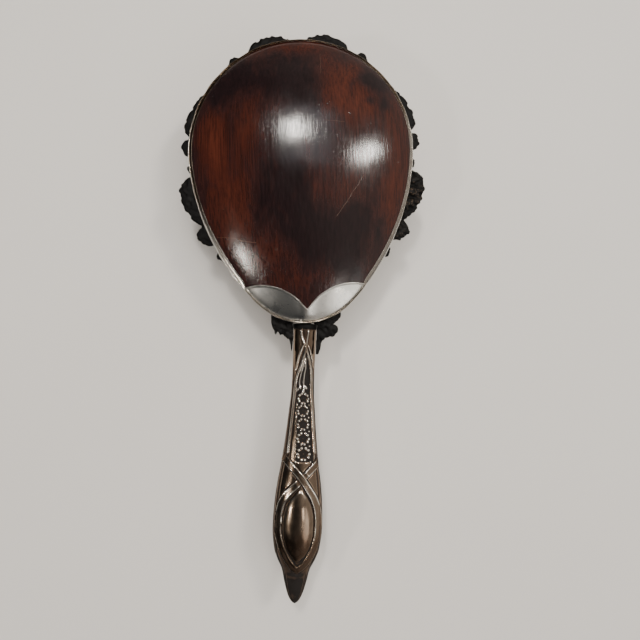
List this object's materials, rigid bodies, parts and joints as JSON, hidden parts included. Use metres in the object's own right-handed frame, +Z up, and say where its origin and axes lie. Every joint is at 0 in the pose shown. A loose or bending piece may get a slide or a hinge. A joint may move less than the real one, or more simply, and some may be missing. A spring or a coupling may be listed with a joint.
{
  "type": "dressing-table hairbrush",
  "caption": "Long-handled hairbrush with a domed wooden back in a metal rim, cusped throat mount, scrolled dark border, drawn bristle rows and a stamped, filled metal handle.",
  "frame": {"origin": "centre of the brush's footprint, at the height of the bristle tips that it rests on", "axes": "+Z up out of the domed back, +Y from the handle towards the crown of the head, +X across the head"},
  "size_m": [0.0992, 0.2348, 0.0412],
  "materials": {
    "figured_wood": "gloss",
    "stock_wood": "satin",
    "silver": "polished",
    "worn_silver": "satin",
    "blackened_metal": "satin",
    "bristle": "matte",
    "steel": "satin",
    "filler": "matte"
  },
  "bodies": {
    "root": {"wooden_back": "figured_wood", "rim_band": "silver", "throat_mount": "silver", "scrolled_border": "blackened_metal", "bristle_stock": "stock_wood", "bristle_row_01": "bristle", "bristle_row_02": "bristle", "bristle_row_03": "bristle", "bristle_row_04": "bristle", "bristle_row_05": "bristle", "bristle_row_06": "bristle", "bristle_row_07": "bristle", "bristle_row_08": "bristle", "bristle_row_09": "bristle", "bristle_row_10": "bristle", "bristle_row_11": "bristle", "bristle_row_12": "bristle", "bristle_row_13": "bristle", "handle_top_shell": "worn_silver", "handle_bottom_shell": "worn_silver", "handle_filler": "filler", "neck_collar": "blackened_metal", "tang": "steel", "tang_pin_front": "steel", "tang_pin_rear": "steel"}
  },
  "joints": []
}
